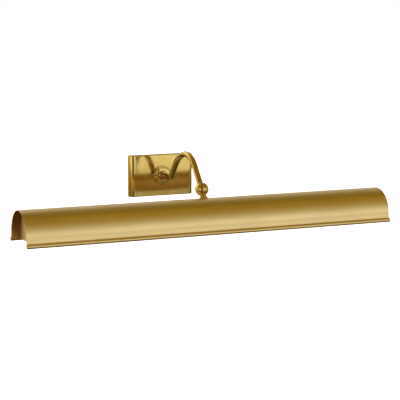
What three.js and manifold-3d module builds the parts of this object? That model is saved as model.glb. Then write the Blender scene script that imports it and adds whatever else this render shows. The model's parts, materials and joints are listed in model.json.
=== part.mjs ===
// Wall-mounted picture light: backplate, swan-neck arm, split ball swivel and an inverted-U shade for
// three tubular lamps. Millimetres, +Z up. The wall is the plane Y = 0 and the light stands out along
// -Y. The origin is the middle of the wall bracket's back face.

import * as THREE from 'three';
import { mergeVertices } from 'three/addons/utils/BufferGeometryUtils.js';
import Module from 'manifold-3d';

const wasm = await Module();
wasm.setup();

// Driving dimensions
const clearance = 0.3; // between pieces that touch

const canopy = { width: 115, height: 69, depth: 10, sheet: 1, sideRadius: 9.8, stemHole: 10.3 };
const bracket = { width: 16, sheet: 1.5, flange: 6.5 };
const fixing = { shank: 3, shankHole: 3.6, head: 5.6, headHole: 6.2, length: 7 };

const tube = { radius: 4.75, bore: 3.75 };
const arm = { stem: 31.6, bend: 13, riseAngle: 51.5, rise: 22.5, crownRadius: 59.7, crownAngle: 7.2,
  shoulderRadius: 41.2, fallAngle: 50.4, fall: 44.1 };
const rosette = { radius: 15.8, rimHeight: 2.4, hubRadius: 7, height: 6.5 };

const ball = { radius: 10.65, cavity: 8.2, hub: 4, split: 0.15, washerGap: 0.75, spigot: 16,
  spigotBore: 2.4 };
const pivot = { shank: 2, bore: 2.3, head: 3.75, headBore: 4.1, headSeat: 8.4 };
const neck = { radius: 5.8, stud: 4, bore: 2.2, shoulder: 2.2, studLength: 7.8 };

const shade = { length: 610, radius: 37.75, sheet: 1, leg: 10.5, bead: 3.2, crownBelowBall: 11.3,
  centreFromBall: 22.5 };
const cap = { sheet: 1, flange: 6, inset: 12, aboveRoll: 0.5 };
const edgeWire = 1.9;
const strap = { length: 572, width: 16, thickness: 1.2 };

const lamp = { count: 3, pitch: 205, radius: 16, length: 141, wall: 0.8, axisHeight: 8, neck: 12.3,
  dome: 9 };
const lampBase = { radius: 12.9, length: 22, wall: 0.8, contact: 5, gap: 3.5 };
const socket = { radius: 15.5, length: 34.5, mouth: 13.4, floor: 4, cableHole: 2 };
const foot = { length: 13, rivetX: 7, rivetHole: 1.8, rivetShank: 1.5, rivetHead: 2.6 };
const lead = { arm: 1.6, neck: 1.1, shade: 1.2, fromStrap: 11, reach: 265 };

// Finishes
const finish = (color, roughness, metalness) =>
  new THREE.MeshStandardMaterial({ color, roughness, metalness });
const polishedBrass = () => finish(0xb98f45, 0.12, 1);
const satinBrass = () => finish(0xc9a565, 0.35, 1);
const capBrass = () => finish(0xb89a62, 0.5, 1);
const zincSteel = () => finish(0xa9abad, 0.4, 1);
const blackPhenolic = () => finish(0x1c1a18, 0.45, 0);
const opalGlass = () => finish(0xf4f1e6, 0.25, 0);
const leadSleeve = () => finish(0xd9d4c6, 0.6, 0);
const groundGreen = () => finish(0x2e6b3a, 0.4, 0.6);

// Solids from three.js geometry, and back
function solid(geometry) {
  const bare = geometry.clone();
  bare.deleteAttribute('normal');
  bare.deleteAttribute('uv');
  const welded = mergeVertices(bare, 1e-5);
  return new wasm.Manifold(new wasm.Mesh({
    numProp: 3,
    vertProperties: welded.attributes.position.array,
    triVerts: new Uint32Array(welded.index.array),
  }));
}

function piece(name, shape, material) {
  let geometry = shape;
  if (!shape.isBufferGeometry) {
    const mesh = shape.getMesh();
    geometry = new THREE.BufferGeometry();
    geometry.setAttribute('position', new THREE.BufferAttribute(mesh.vertProperties, mesh.numProp));
    geometry.setIndex(new THREE.BufferAttribute(mesh.triVerts, 1));
  }
  const result = new THREE.Mesh(geometry, material);
  result.name = name;
  return result;
}

const vec = (x, y, z) => new THREE.Vector3(x, y, z);
const up = vec(0, 1, 0);

// A round bar from one point to another
function rod(from, to, radius, sides = 16) {
  const span = to.clone().sub(from);
  const geometry = new THREE.CylinderGeometry(radius, radius, span.length(), sides);
  geometry.applyQuaternion(new THREE.Quaternion().setFromUnitVectors(up, span.clone().normalize()));
  const middle = from.clone().add(to).multiplyScalar(0.5);
  return geometry.translate(middle.x, middle.y, middle.z);
}

// A flat ring or washer between two points
function ring(from, to, outer, inner, sides = 16) {
  const span = to.clone().sub(from).normalize();
  const hole = rod(from.clone().sub(span), to.clone().add(span), inner, sides);
  return solid(rod(from, to, outer, sides)).subtract(solid(hole));
}

// A box from its lowest to its highest corner
function block(low, high) {
  const geometry = new THREE.BoxGeometry(high.x - low.x, high.y - low.y, high.z - low.z);
  return geometry.translate((low.x + high.x) / 2, (low.y + high.y) / 2, (low.z + high.z) / 2);
}

// A turned shape: [radius, distance] pairs, with distance measured from `at` along `direction`
function turned(profile, at, direction, sides = 20) {
  const geometry = new THREE.LatheGeometry(profile.map(([r, d]) => new THREE.Vector2(r, d)), sides);
  geometry.applyQuaternion(new THREE.Quaternion().setFromUnitVectors(up, direction));
  return geometry.translate(at.x, at.y, at.z);
}

// A section drawn in the YZ plane and run along X, centred on X = 0
function alongX(shape, length, curveSegments = 24) {
  const geometry = new THREE.ExtrudeGeometry(shape, { depth: length, bevelEnabled: false, curveSegments });
  geometry.translate(0, 0, -length / 2);
  return geometry.applyMatrix4(new THREE.Matrix4().makeBasis(vec(0, 1, 0), vec(0, 0, 1), vec(1, 0, 0)));
}

const light = new THREE.Group();
const add = (name, shape, material) => light.add(piece(name, shape, material));

// Canopy: a shallow pressed pan. Its side edges are bent round, its top and bottom are folded sharp,
// and its back is open to the wall box.
function panOutline(inset) {
  const half = canopy.width / 2 - inset;
  const front = -canopy.depth + inset;
  const r = canopy.sideRadius - inset;
  const shape = new THREE.Shape();
  shape.moveTo(-half, inset);
  shape.lineTo(-half, front + r);
  shape.absarc(-half + r, front + r, r, Math.PI, Math.PI * 1.5, false);
  shape.absarc(half - r, front + r, r, Math.PI * 1.5, Math.PI * 2, false);
  shape.lineTo(half, inset);
  return shape;
}

function pan(inset, height) {
  const geometry = new THREE.ExtrudeGeometry(panOutline(inset), {
    depth: height, bevelEnabled: false, curveSegments: 6 });
  return solid(geometry.translate(0, 0, -height / 2));
}

const fixingY = -bracket.sheet - bracket.flange / 2;
const canopyTop = canopy.height / 2;
const headBores = solid(rod(
  vec(0, fixingY, -canopyTop - 1), vec(0, fixingY, canopyTop + 1), fixing.headHole / 2));
const stemBore = solid(rod(
  vec(0, -canopy.depth - 1, 0), vec(0, -canopy.depth + 3, 0), canopy.stemHole / 2, 24));
const hollow = pan(canopy.sheet, canopy.height - 2 * canopy.sheet);
add('canopy', pan(0, canopy.height).subtract(hollow).subtract(headBores).subtract(stemBore),
  polishedBrass());

// Wall bracket: a narrow steel strap, flat on the wall, with a flange at each end that the canopy
// slides over. Two long holes take the wall-box screws, and the middle is solid.
const flangeTop = canopyTop - canopy.sheet - clearance;
const halfStrap = bracket.width / 2;
let wallBracket = solid(block(vec(-halfStrap, -bracket.sheet, -flangeTop), vec(halfStrap, 0, flangeTop)));
for (const side of [-1, 1]) {
  const outer = side * flangeTop;
  const inner = side * (flangeTop - bracket.sheet);
  const front = -bracket.sheet - bracket.flange;
  wallBracket = wallBracket.add(solid(block(
    vec(-halfStrap, front, Math.min(outer, inner)), vec(halfStrap, -0.1, Math.max(outer, inner)))));
  const slot = new THREE.Shape();
  slot.absarc(0, 22, 2.3, 0, Math.PI, false);
  slot.absarc(0, 15, 2.3, Math.PI, Math.PI * 2, false);
  const cutter = new THREE.ExtrudeGeometry(slot, { depth: 4, bevelEnabled: false, curveSegments: 6 });
  cutter.rotateX(Math.PI / 2).translate(0, 1, 0);
  if (side < 0) cutter.rotateY(Math.PI);
  wallBracket = wallBracket.subtract(solid(cutter));
}
const shankBores = solid(rod(
  vec(0, fixingY, -canopyTop), vec(0, fixingY, canopyTop), fixing.shankHole / 2));
const groundAt = vec(4.5, -bracket.sheet, -9.5);
const groundBore = solid(rod(groundAt.clone().add(vec(0, -1, 0)), groundAt.clone().add(vec(0, 3, 0)), 1.8));
add('wall_bracket', wallBracket.subtract(shankBores).subtract(groundBore), zincSteel());

add('ground_screw', turned([[0, -1.2], [1.5, -1.2], [1.5, 0.3], [3, 0.3], [3, 1.6], [0, 1.6]],
  groundAt, vec(0, -1, 0), 12), groundGreen());

// Canopy screws: each head lies flush in the canopy's wall and its shank runs through the bracket's flange
for (const [name, side] of [['canopy_screw_top', 1], ['canopy_screw_bottom', -1]]) {
  const base = canopyTop - fixing.length;
  const profile = [[0, base], [fixing.shank / 2, base], [fixing.shank / 2, canopyTop - canopy.sheet],
    [fixing.head / 2, canopyTop - canopy.sheet], [fixing.head / 2, canopyTop - 0.1], [0, canopyTop - 0.1]];
  add(name, turned(profile, vec(0, fixingY, 0), vec(0, 0, side), 16), polishedBrass());
}

// Arm: a bent brass tube. It runs straight out of the wall, turns up, goes over a long crown and falls
// to the ball. Its wall end is threaded for the stem nut.
const stemEnd = -4.6;
const degrees = Math.PI / 180;
const route = new THREE.CurvePath();
let at = vec(0, stemEnd, 0);
let heading = 0;
const ahead = (angle) => vec(0, -Math.cos(angle), Math.sin(angle));

function straight(length) {
  const next = at.clone().addScaledVector(ahead(heading), length);
  route.add(new THREE.LineCurve3(at, next));
  at = next;
}

class ArcInYZ extends THREE.Curve {
  constructor(start, from, to, radius) {
    super();
    Object.assign(this, { start, from, to, radius, side: Math.sign(to - from) });
  }

  getPoint(t, target = vec(0, 0, 0)) {
    const angle = this.from + (this.to - this.from) * t;
    const swing = this.side * this.radius;
    const out = Math.sin(angle) - Math.sin(this.from);
    const rise = Math.cos(this.from) - Math.cos(angle);
    return target.set(0, this.start.y - swing * out, this.start.z + swing * rise);
  }
}

function bend(radius, toAngle) {
  const arc = new ArcInYZ(at.clone(), heading, toAngle, radius);
  route.add(arc);
  at = arc.getPoint(1);
  heading = toAngle;
}

straight(canopy.depth + stemEnd + arm.stem);
bend(arm.bend, arm.riseAngle * degrees);
straight(arm.rise);
bend(arm.crownRadius, arm.crownAngle * degrees);
bend(arm.shoulderRadius, -arm.fallAngle * degrees);
straight(arm.fall);
const ballCentre = at.clone();
const armAway = ahead(heading).negate();

function circle(radius, sides) {
  const outline = Array.from({ length: sides }, (_, i) => {
    const angle = (i / sides) * Math.PI * 2;
    return new THREE.Vector2(radius * Math.cos(angle), radius * Math.sin(angle));
  });
  return new THREE.Shape(outline);
}

const swept = (radius, sides, steps) => new THREE.ExtrudeGeometry(circle(radius, sides), {
  steps, extrudePath: route, bevelEnabled: false });

function wholeBall(radius, segments = 20, rings = 12) {
  const sphere = new THREE.SphereGeometry(radius, segments, rings);
  sphere.rotateZ(Math.PI / 2);
  return solid(sphere.translate(ballCentre.x, ballCentre.y, ballCentre.z));
}
const overBall = wholeBall(ball.radius + clearance);
add('arm', solid(swept(tube.radius, 12, 46)).subtract(solid(swept(tube.bore, 8, 46))).subtract(overBall),
  polishedBrass());

// Rosette: a turned cup washer that hides the stem hole, with a rolled rim and a low dome up to the tube
const rosetteProfile = [
  [tube.radius + clearance, 0],
  [rosette.radius, 0],
  [rosette.radius, rosette.rimHeight * 0.6],
  [rosette.radius - 0.9, rosette.rimHeight],
  [rosette.radius - 2.4, rosette.rimHeight],
  [rosette.radius - 3.2, rosette.rimHeight * 0.7],
  [rosette.radius - 4.6, rosette.rimHeight],
  [rosette.radius - 6.6, rosette.height * 0.75],
  [rosette.hubRadius, rosette.height],
  [tube.radius + clearance, rosette.height],
  [tube.radius + clearance, 0],
];
add('rosette', turned(rosetteProfile, vec(0, -canopy.depth - clearance, 0), vec(0, -1, 0), 24),
  polishedBrass());

// Behind the canopy: lock washer and stem nut
const canopyInside = -canopy.depth + canopy.sheet;
add('stem_lock_washer', ring(vec(0, canopyInside + clearance, 0), vec(0, canopyInside + 1.1, 0), 8, 5.1),
  zincSteel());
add('stem_nut', solid(rod(vec(0, canopyInside + 1.4, 0), vec(0, canopyInside + 3.9, 0), 8.4, 6)).subtract(
  solid(rod(vec(0, canopyInside, 0), vec(0, canopyInside + 5, 0), tube.radius + clearance, 12))),
  polishedBrass());

// Ball swivel: two hollow half-balls with their flat faces together on X = 0. The arm's half stays
// still. The shade's half carries the neck and turns on the pivot screw.
const awayFromBall = (direction, distance) => ballCentre.clone().addScaledVector(direction, distance);
const onPivot = (x) => ballCentre.clone().setX(x);
const insideWall = ball.cavity - 0.8;

// Everything near the ball on one side of the plane X = from, which is +X where side is 1 and -X where
// it is -1
function halfSpace(side, from) {
  const reach = 2 * ball.radius;
  const far = side * reach;
  return solid(block(
    vec(Math.min(from, far), ballCentre.y - reach, ballCentre.z - reach),
    vec(Math.max(from, far), ballCentre.y + reach, ballCentre.z + reach)));
}

function halfBall(side) {
  const hub = solid(rod(onPivot(side * ball.washerGap), onPivot(side * (ball.cavity + 0.8)), ball.hub, 20));
  return wholeBall(ball.radius).subtract(wholeBall(ball.cavity, 12, 8))
    .intersect(halfSpace(side, side * ball.split)).add(hub);
}

// The space of the other half, which a spigot or neck that crosses the split is cut away from
const otherHalf = (side) =>
  wholeBall(ball.radius + clearance).intersect(halfSpace(-side, side * ball.split));

const spigot = solid(rod(awayFromBall(armAway, insideWall), awayFromBall(armAway, ball.spigot),
  tube.bore - clearance));
const spigotBore = solid(rod(
  awayFromBall(armAway, 5), awayFromBall(armAway, ball.spigot + 2), ball.spigotBore));
const pivotThread = solid(rod(onPivot(-ball.cavity), onPivot(2), pivot.bore));
add('ball_arm_half',
  halfBall(-1).add(spigot.subtract(otherHalf(-1))).subtract(spigotBore).subtract(pivotThread),
  polishedBrass());

// The shade hangs in a frame of its own: origin on the axis of its arch, local Z along the neck to the ball
const archCentre = vec(
  0, ballCentre.y - shade.centreFromBall, ballCentre.z - shade.crownBelowBall - shade.radius);
const toBall = ballCentre.clone().sub(archCentre);
const neckLength = toBall.length();
const neckAway = toBall.clone().normalize().negate();
const seat = neckLength - shade.radius; // from the ball's centre to the shade's outer face

const neckEnd = seat - neck.shoulder;
const studEnd = seat + neck.studLength;
const neckBody = solid(rod(
  awayFromBall(neckAway, insideWall), awayFromBall(neckAway, neckEnd), neck.radius, 20));
const neckStud = solid(rod(
  awayFromBall(neckAway, neckEnd - 1), awayFromBall(neckAway, studEnd), neck.stud));
const neckBore = solid(rod(awayFromBall(neckAway, 5), awayFromBall(neckAway, studEnd + 1), neck.bore, 12));
const headRecess = solid(rod(onPivot(pivot.headSeat - 1.2), onPivot(ball.radius + 1), pivot.headBore));
const pivotClear = solid(rod(onPivot(-1), onPivot(pivot.headSeat), pivot.bore));
add('ball_shade_half', halfBall(1).add(neckBody.subtract(otherHalf(1))).add(neckStud)
  .subtract(neckBore).subtract(headRecess).subtract(pivotClear), polishedBrass());

const washerBore = pivot.bore + 0.1;
add('swivel_friction_washer', ring(onPivot(-0.45), onPivot(0.45), 3.9, washerBore), leadSleeve());
add('swivel_spring_washer',
  ring(onPivot(pivot.headSeat - 0.9), onPivot(pivot.headSeat - clearance), 3.8, washerBore),
  zincSteel());
add('swivel_screw', turned([[0, -7.5], [pivot.shank, -7.5], [pivot.shank, pivot.headSeat],
  [pivot.head, pivot.headSeat], [pivot.head, pivot.headSeat + 1.2], [0, pivot.headSeat + 1.2]],
ballCentre, vec(1, 0, 0), 16), polishedBrass());

// Neck fixings: saddle washer outside the shade, lock washer and nut inside
const shadeFrame = new THREE.Group();
shadeFrame.position.copy(archCentre);
shadeFrame.rotation.x = -Math.atan2(toBall.y, toBall.z);
light.add(shadeFrame);
const hang = (name, shape, material) => shadeFrame.add(piece(name, shape, material));

const strapTop = Math.sqrt((shade.radius - shade.sheet) ** 2 - (strap.width / 2) ** 2) - clearance;
const strapBottom = strapTop - strap.thickness;
const archBore = alongX(
  new THREE.Shape().absarc(0, 0, shade.radius + clearance, 0, Math.PI * 2, false), 40, 96);
hang('neck_washer',
  ring(vec(0, 0, shade.radius - 1), vec(0, 0, shade.radius + 1.9), 7, neck.stud + clearance, 24)
  .subtract(solid(archBore)), polishedBrass());
hang('neck_lock_washer', ring(vec(0, 0, strapBottom - 1.1), vec(0, 0, strapBottom - clearance), 6.8,
  neck.stud + clearance), zincSteel());
const nutTop = strapBottom - 1.4;
hang('neck_nut', solid(rod(vec(0, 0, nutTop - 3), vec(0, 0, nutTop), 7.2, 6)).subtract(
  solid(rod(vec(0, 0, nutTop - 5), vec(0, 0, nutTop + 2), neck.stud + clearance, 16))), polishedBrass());

// Shade: one brass sheet rolled to an arch with short straight legs. Each lower edge is rolled
// outwards round a wire, so it makes a bead along the whole length.
const legBottom = -shade.leg;
const sheetLine = shade.radius - shade.sheet / 2;
const rollLine = shade.bead - shade.sheet / 2;
const rollCentre = sheetLine + rollLine;

function shadeOutline() {
  const shape = new THREE.Shape();
  const inner = shade.radius - shade.sheet;
  const rollInner = shade.bead - shade.sheet;
  const rollOpen = 20 * degrees;
  shape.absarc(0, 0, shade.radius, 0, Math.PI, false);
  shape.lineTo(-shade.radius, legBottom);
  shape.absarc(-rollCentre, legBottom, rollInner, 0, -(Math.PI * 2 - rollOpen * 2), true);
  shape.absarc(-rollCentre, legBottom, shade.bead, -(Math.PI * 2 - rollOpen * 2), 0, false);
  shape.lineTo(-inner, 0);
  shape.absarc(0, 0, inner, Math.PI, 0, true);
  shape.lineTo(inner, legBottom);
  shape.absarc(rollCentre, legBottom, shade.bead, Math.PI, Math.PI + (Math.PI * 2 - rollOpen * 2), false);
  shape.absarc(rollCentre, legBottom, rollInner, Math.PI + (Math.PI * 2 - rollOpen * 2), Math.PI, true);
  shape.lineTo(shade.radius, 0);
  return shape;
}

const shell = alongX(shadeOutline(), shade.length, 16);
shell.translate(archCentre.x, archCentre.y, archCentre.z);
const studBore = solid(rod(awayFromBall(neckAway, seat - 4), awayFromBall(neckAway, seat + 4),
  neck.stud + clearance, 16));
add('shade', solid(shell).subtract(studBore), satinBrass());

for (const [name, side] of [['front_edge_wire', -1], ['back_edge_wire', 1]]) {
  const y = archCentre.y + side * rollCentre;
  const z = archCentre.z + legBottom;
  const end = shade.length / 2 - 1;
  add(name, rod(vec(-end, y, z), vec(end, y, z), edgeWire, 10), zincSteel());
}

// End caps: flanged plates that close the arch, set in from the ends of the shade. The flange faces
// inwards and stops at the open underside.
function capOutline(inset, bottom) {
  const r = shade.radius - shade.sheet - clearance - inset;
  const shape = new THREE.Shape();
  shape.moveTo(-r, bottom);
  shape.lineTo(r, bottom);
  shape.lineTo(r, 0);
  shape.absarc(0, 0, r, 0, Math.PI, false);
  return shape;
}

const capBottom = legBottom + cap.aboveRoll;
for (const [name, side] of [['end_cap_left', -1], ['end_cap_right', 1]]) {
  const middle = side * (shade.length / 2 - cap.inset - cap.flange / 2);
  const plate = alongX(capOutline(0, capBottom), cap.flange, 16)
    .translate(middle, archCentre.y, archCentre.z);
  const hollowed = alongX(capOutline(cap.sheet, capBottom - 1), cap.flange, 16)
    .translate(middle - side * cap.sheet, archCentre.y, archCentre.z);
  add(name, solid(plate).subtract(solid(hollowed)), capBrass());
}

// Socket strap: runs the length of the shade under its crown, clamped by the neck nut
let socketStrap = solid(block(vec(-strap.length / 2, -strap.width / 2, strapBottom),
  vec(strap.length / 2, strap.width / 2, strapTop)));
socketStrap = socketStrap.subtract(solid(rod(vec(0, 0, strapBottom - 2), vec(0, 0, strapTop + 2),
  neck.stud + clearance, 16)));

// One lamp set: bracket, rivet, socket and its screw, lamp base and lamp glass, laid out along +X from
// the bracket
const footTop = strapBottom - clearance;
const footBottom = footTop - strap.thickness;
const alongLamp = vec(1, 0, 0);
const rivetBore = (x) => solid(rod(vec(x + foot.rivetX, 0, 0), vec(x + foot.rivetX, 0, 2 * strapTop),
  foot.rivetHole, 12));

function socketBracket() {
  const half = strap.width / 2;
  const flat = solid(block(vec(0, -half, footBottom), vec(foot.length, half, footTop)));
  const upright = solid(block(vec(0, -half, lamp.axisHeight - half), vec(strap.thickness, half, footTop)));
  const screwBore = rod(vec(-2, 0, lamp.axisHeight), vec(4, 0, lamp.axisHeight), socket.cableHole, 12);
  return flat.add(upright).subtract(rivetBore(0)).subtract(solid(screwBore));
}

const rivetLow = footBottom - clearance;
const rivetHigh = strapTop + clearance;
const rivetProfile = [[0, rivetLow - 1], [foot.rivetHead, rivetLow - 1], [foot.rivetHead + 0.2, rivetLow],
  [foot.rivetShank, rivetLow], [foot.rivetShank, rivetHigh], [foot.rivetHead - 0.2, rivetHigh],
  [foot.rivetHead - 0.6, rivetHigh + 0.45], [0, rivetHigh + 0.45]];

const socketStart = strap.thickness + clearance;
const socketEnd = socketStart + socket.length;
const collar = socketStart + 12;
const socketProfile = [
  [socket.cableHole, socketStart],
  [socket.radius - 2.5, socketStart],
  [socket.radius - 1, socketStart + 1.5],
  [socket.radius - 1, collar],
  [socket.radius, collar + 1],
  [socket.radius, socketEnd],
  [socket.mouth, socketEnd],
  [socket.mouth, socketStart + socket.floor],
  [socket.cableHole, socketStart + socket.floor],
  [socket.cableHole, socketStart],
];
const screwEnd = socketStart + 3.4;
const screwProfile = [
  [0, -2.3], [3, -2.3], [3, -clearance], [1.7, -clearance], [1.7, screwEnd], [0, screwEnd]];

const baseStart = socketStart + socket.floor + lampBase.gap;
const baseEnd = baseStart + lampBase.length;
const baseInside = lampBase.radius - lampBase.wall;
const baseProfile = [
  [0, baseStart],
  [lampBase.contact, baseStart],
  [lampBase.contact + 2, baseStart + 3],
  [lampBase.radius, baseStart + 5],
  [lampBase.radius, baseEnd],
  [baseInside, baseEnd],
  [baseInside, baseStart + 5.6],
  [lampBase.contact + 1.6, baseStart + 3.8],
  [0, baseStart + 1],
];

function glassProfile(offset) {
  const tip = baseStart + lamp.length - offset;
  const r = lamp.radius - offset;
  const profile = [[lamp.neck - offset, baseEnd + clearance], [lamp.neck - offset, socketEnd + 1],
    [r, socketEnd + 10]];
  const steps = 5;
  for (let i = 0; i < steps; i += 1) {
    const angle = (i / steps) * (Math.PI / 2);
    profile.push([r * Math.cos(angle) ** 0.7, tip - lamp.dome + lamp.dome * Math.sin(angle)]);
  }
  profile.push([0, tip]);
  return profile;
}

function lampSet(number, x) {
  const set = new THREE.Group();
  set.position.x = x;
  shadeFrame.add(set);
  const fit = (name, shape, material) => set.add(piece(`${name}_${number}`, shape, material));
  const axis = vec(0, 0, lamp.axisHeight);
  fit('socket_bracket', socketBracket(), zincSteel());
  fit('bracket_rivet', turned(rivetProfile, vec(foot.rivetX, 0, 0), vec(0, 0, 1), 10), zincSteel());
  fit('socket', turned(socketProfile, axis, alongLamp, 16), blackPhenolic());
  fit('socket_screw', turned(screwProfile, axis, alongLamp, 10), zincSteel());
  fit('lamp_base', turned(baseProfile, axis, alongLamp, 16), polishedBrass());
  const glass = glassProfile(0).concat(glassProfile(lamp.wall).reverse(), [glassProfile(0)[0]]);
  fit('lamp_glass', turned(glass, axis, alongLamp, 16), opalGlass());
}

const setLength = baseStart + lamp.length;
for (let i = 0; i < lamp.count; i += 1) {
  const x = (i - (lamp.count - 1) / 2) * lamp.pitch - setLength / 2;
  lampSet(i + 1, x);
  socketStrap = socketStrap.subtract(rivetBore(x));
}
hang('socket_strap', socketStrap, zincSteel());

// Internal leads: one in the arm, one down the neck, one along the socket strap
add('arm_lead', solid(swept(lead.arm, 6, 36)).subtract(overBall), leadSleeve());

const neckRoute = new THREE.CatmullRomCurve3([
  vec(0, 0, neckLength - ball.radius - clearance),
  vec(0, 0, 38),
  vec(0, 0, 31),
  vec(0, 3.5, 27),
  vec(1, 8.5, 27.4),
  vec(3, lead.fromStrap, 29.6),
]);
hang('neck_lead', new THREE.ExtrudeGeometry(circle(lead.neck, 6), {
  steps: 16, extrudePath: neckRoute, bevelEnabled: false }), leadSleeve());
const shadeLeadHeight = strapBottom - 1.5;
hang('shade_lead', rod(vec(-lead.reach, lead.fromStrap, shadeLeadHeight), vec(lead.reach, lead.fromStrap,
  shadeLeadHeight), lead.shade, 8), leadSleeve());

export default light;
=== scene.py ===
"""A wall-mounted brass picture light: backplate, swan-neck arm, ball swivel and a long arched shade."""

import json
import math

import bmesh
import bpy
from mathutils import Matrix, Vector


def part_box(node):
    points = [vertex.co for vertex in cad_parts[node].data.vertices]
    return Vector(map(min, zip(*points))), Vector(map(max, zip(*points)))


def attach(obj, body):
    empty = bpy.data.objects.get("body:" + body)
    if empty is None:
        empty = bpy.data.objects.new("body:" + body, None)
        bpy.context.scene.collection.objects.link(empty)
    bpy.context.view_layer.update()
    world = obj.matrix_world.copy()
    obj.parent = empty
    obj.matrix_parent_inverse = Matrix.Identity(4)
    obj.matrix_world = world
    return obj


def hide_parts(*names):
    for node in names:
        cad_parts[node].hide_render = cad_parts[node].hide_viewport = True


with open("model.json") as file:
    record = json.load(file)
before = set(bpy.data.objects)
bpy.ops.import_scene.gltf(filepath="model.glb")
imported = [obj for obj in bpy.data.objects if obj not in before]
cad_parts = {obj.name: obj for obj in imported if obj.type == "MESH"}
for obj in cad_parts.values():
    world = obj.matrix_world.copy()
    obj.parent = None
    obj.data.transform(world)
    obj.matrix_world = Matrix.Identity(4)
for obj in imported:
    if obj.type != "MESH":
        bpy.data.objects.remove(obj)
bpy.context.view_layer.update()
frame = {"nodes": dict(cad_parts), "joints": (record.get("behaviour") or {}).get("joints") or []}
MM = 0.001
RIGHT, BACK, UP = Vector((1, 0, 0)), Vector((0, 1, 0)), Vector((0, 0, 1))

# ---- Wall bracket ----------------------------------------------------------------------------------------------
# A narrow strap of zinc-plated steel sheet with its two ends folded forward. Box screws hold it to the wall through
# the long holes, and the backplate's own screws are tapped into the folded ends.


def finish(name, colour, metallic, roughness, **more):
    """A new material and its node tree, with the settings that are the same all over the piece."""
    material = bpy.data.materials.new(name)
    material.use_nodes = True
    shader = material.node_tree.nodes["Principled BSDF"]
    shader.inputs["Base Color"].default_value = (*colour, 1)
    shader.inputs["Metallic"].default_value = metallic
    shader.inputs["Roughness"].default_value = roughness
    for socket, value in more.items():
        shader.inputs[socket.replace("_", " ").title()].default_value = value
    return material, material.node_tree, shader


def pattern(tree, scale, stretch=(1, 1, 1), detail=3):
    """A cloudy pattern fixed to the piece; scale is in patches to the metre along each axis."""
    place = tree.nodes.new("ShaderNodeTexCoord")
    stretched = tree.nodes.new("ShaderNodeMapping")
    stretched.inputs["Scale"].default_value = stretch
    texture = tree.nodes.new("ShaderNodeTexNoise")
    texture.inputs["Scale"].default_value = scale
    texture.inputs["Detail"].default_value = detail
    tree.links.new(place.outputs["Object"], stretched.inputs["Vector"])
    tree.links.new(stretched.outputs["Vector"], texture.inputs["Vector"])
    return texture.outputs[0]


def tinted(tree, shader, amount, low, high, spread=(0.35, 0.65)):
    """The colour drifts between low and high as the pattern does."""
    reach = tree.nodes.new("ShaderNodeMapRange")
    reach.inputs["From Min"].default_value, reach.inputs["From Max"].default_value = spread
    mix = tree.nodes.new("ShaderNodeMix")
    mix.data_type = "RGBA"
    mix.inputs["A"].default_value = (*low, 1)
    mix.inputs["B"].default_value = (*high, 1)
    tree.links.new(amount, reach.inputs["Value"])
    tree.links.new(reach.outputs["Result"], mix.inputs["Factor"])
    tree.links.new(mix.outputs["Result"], shader.inputs["Base Color"])


def polished(tree, shader, amount, smooth, rough, spread=(0.35, 0.65)):
    """The roughness drifts between smooth and rough as the pattern does."""
    reach = tree.nodes.new("ShaderNodeMapRange")
    reach.inputs["From Min"].default_value, reach.inputs["From Max"].default_value = spread
    reach.inputs["To Min"].default_value, reach.inputs["To Max"].default_value = smooth, rough
    tree.links.new(amount, reach.inputs["Value"])
    tree.links.new(reach.outputs["Result"], shader.inputs["Roughness"])


def raised(tree, shader, amount, strength, distance):
    """The surface rises and falls by up to distance as the pattern does."""
    bump = tree.nodes.new("ShaderNodeBump")
    bump.inputs["Strength"].default_value = strength
    bump.inputs["Distance"].default_value = distance
    tree.links.new(amount, bump.inputs["Height"])
    tree.links.new(bump.outputs["Normal"], shader.inputs["Normal"])


def outline(*corners, closed=True, steps=5):
    """Points of a flat outline from corners (x, y, radius), each corner rounded to its radius."""
    points = []
    for i, (x, y, *radius) in enumerate(corners):
        here = Vector((x, y))
        if not radius or (not closed and i in (0, len(corners) - 1)):
            points.append(here)
            continue
        back = (Vector(corners[i - 1][:2]) - here).normalized()
        on = (Vector(corners[(i + 1) % len(corners)][:2]) - here).normalized()
        half = back.angle(on) / 2
        centre = here + (back + on).normalized() * radius[0] / math.sin(half)
        start = here + back * radius[0] / math.tan(half) - centre
        end = here + on * radius[0] / math.tan(half) - centre
        sweep = math.atan2(start.cross(end), start.dot(end))
        points += [centre + Matrix.Rotation(sweep * step / steps, 2) @ start for step in range(steps + 1)]
    return points


def facing(origin, direction):
    """A frame at origin whose own Z runs along direction."""
    return Matrix.Translation(origin) @ direction.to_track_quat("Z", "Y").to_matrix().to_4x4()


def drawn(points, place=Matrix.Identity(4), closed=True):
    """A bmesh that holds one line of points (x, y), drawn in the plane Y = 0 of place as (x, 0, y)."""
    shape = bmesh.new()
    verts = [shape.verts.new(place @ Vector((x, 0, y))) for x, y in points]
    for first, second in zip(verts, verts[1:] + verts[:1] if closed else verts[1:]):
        shape.edges.new((first, second))
    return shape


def turned(points, place, steps=48, closed=True):
    """A turned piece: points are (radius, height), and place's own Z is the axis."""
    shape = drawn(points, closed=closed)
    bmesh.ops.spin(shape, geom=shape.verts[:] + shape.edges[:], cent=(0, 0, 0), axis=UP, dvec=(0, 0, 0),
                   angle=math.tau, steps=steps, use_merge=True, use_normal_flip=False, use_duplicate=False)
    bmesh.ops.remove_doubles(shape, verts=shape.verts, dist=1e-7)
    bmesh.ops.recalc_face_normals(shape, faces=shape.faces)
    bmesh.ops.transform(shape, matrix=place, verts=shape.verts)
    return shape


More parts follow.
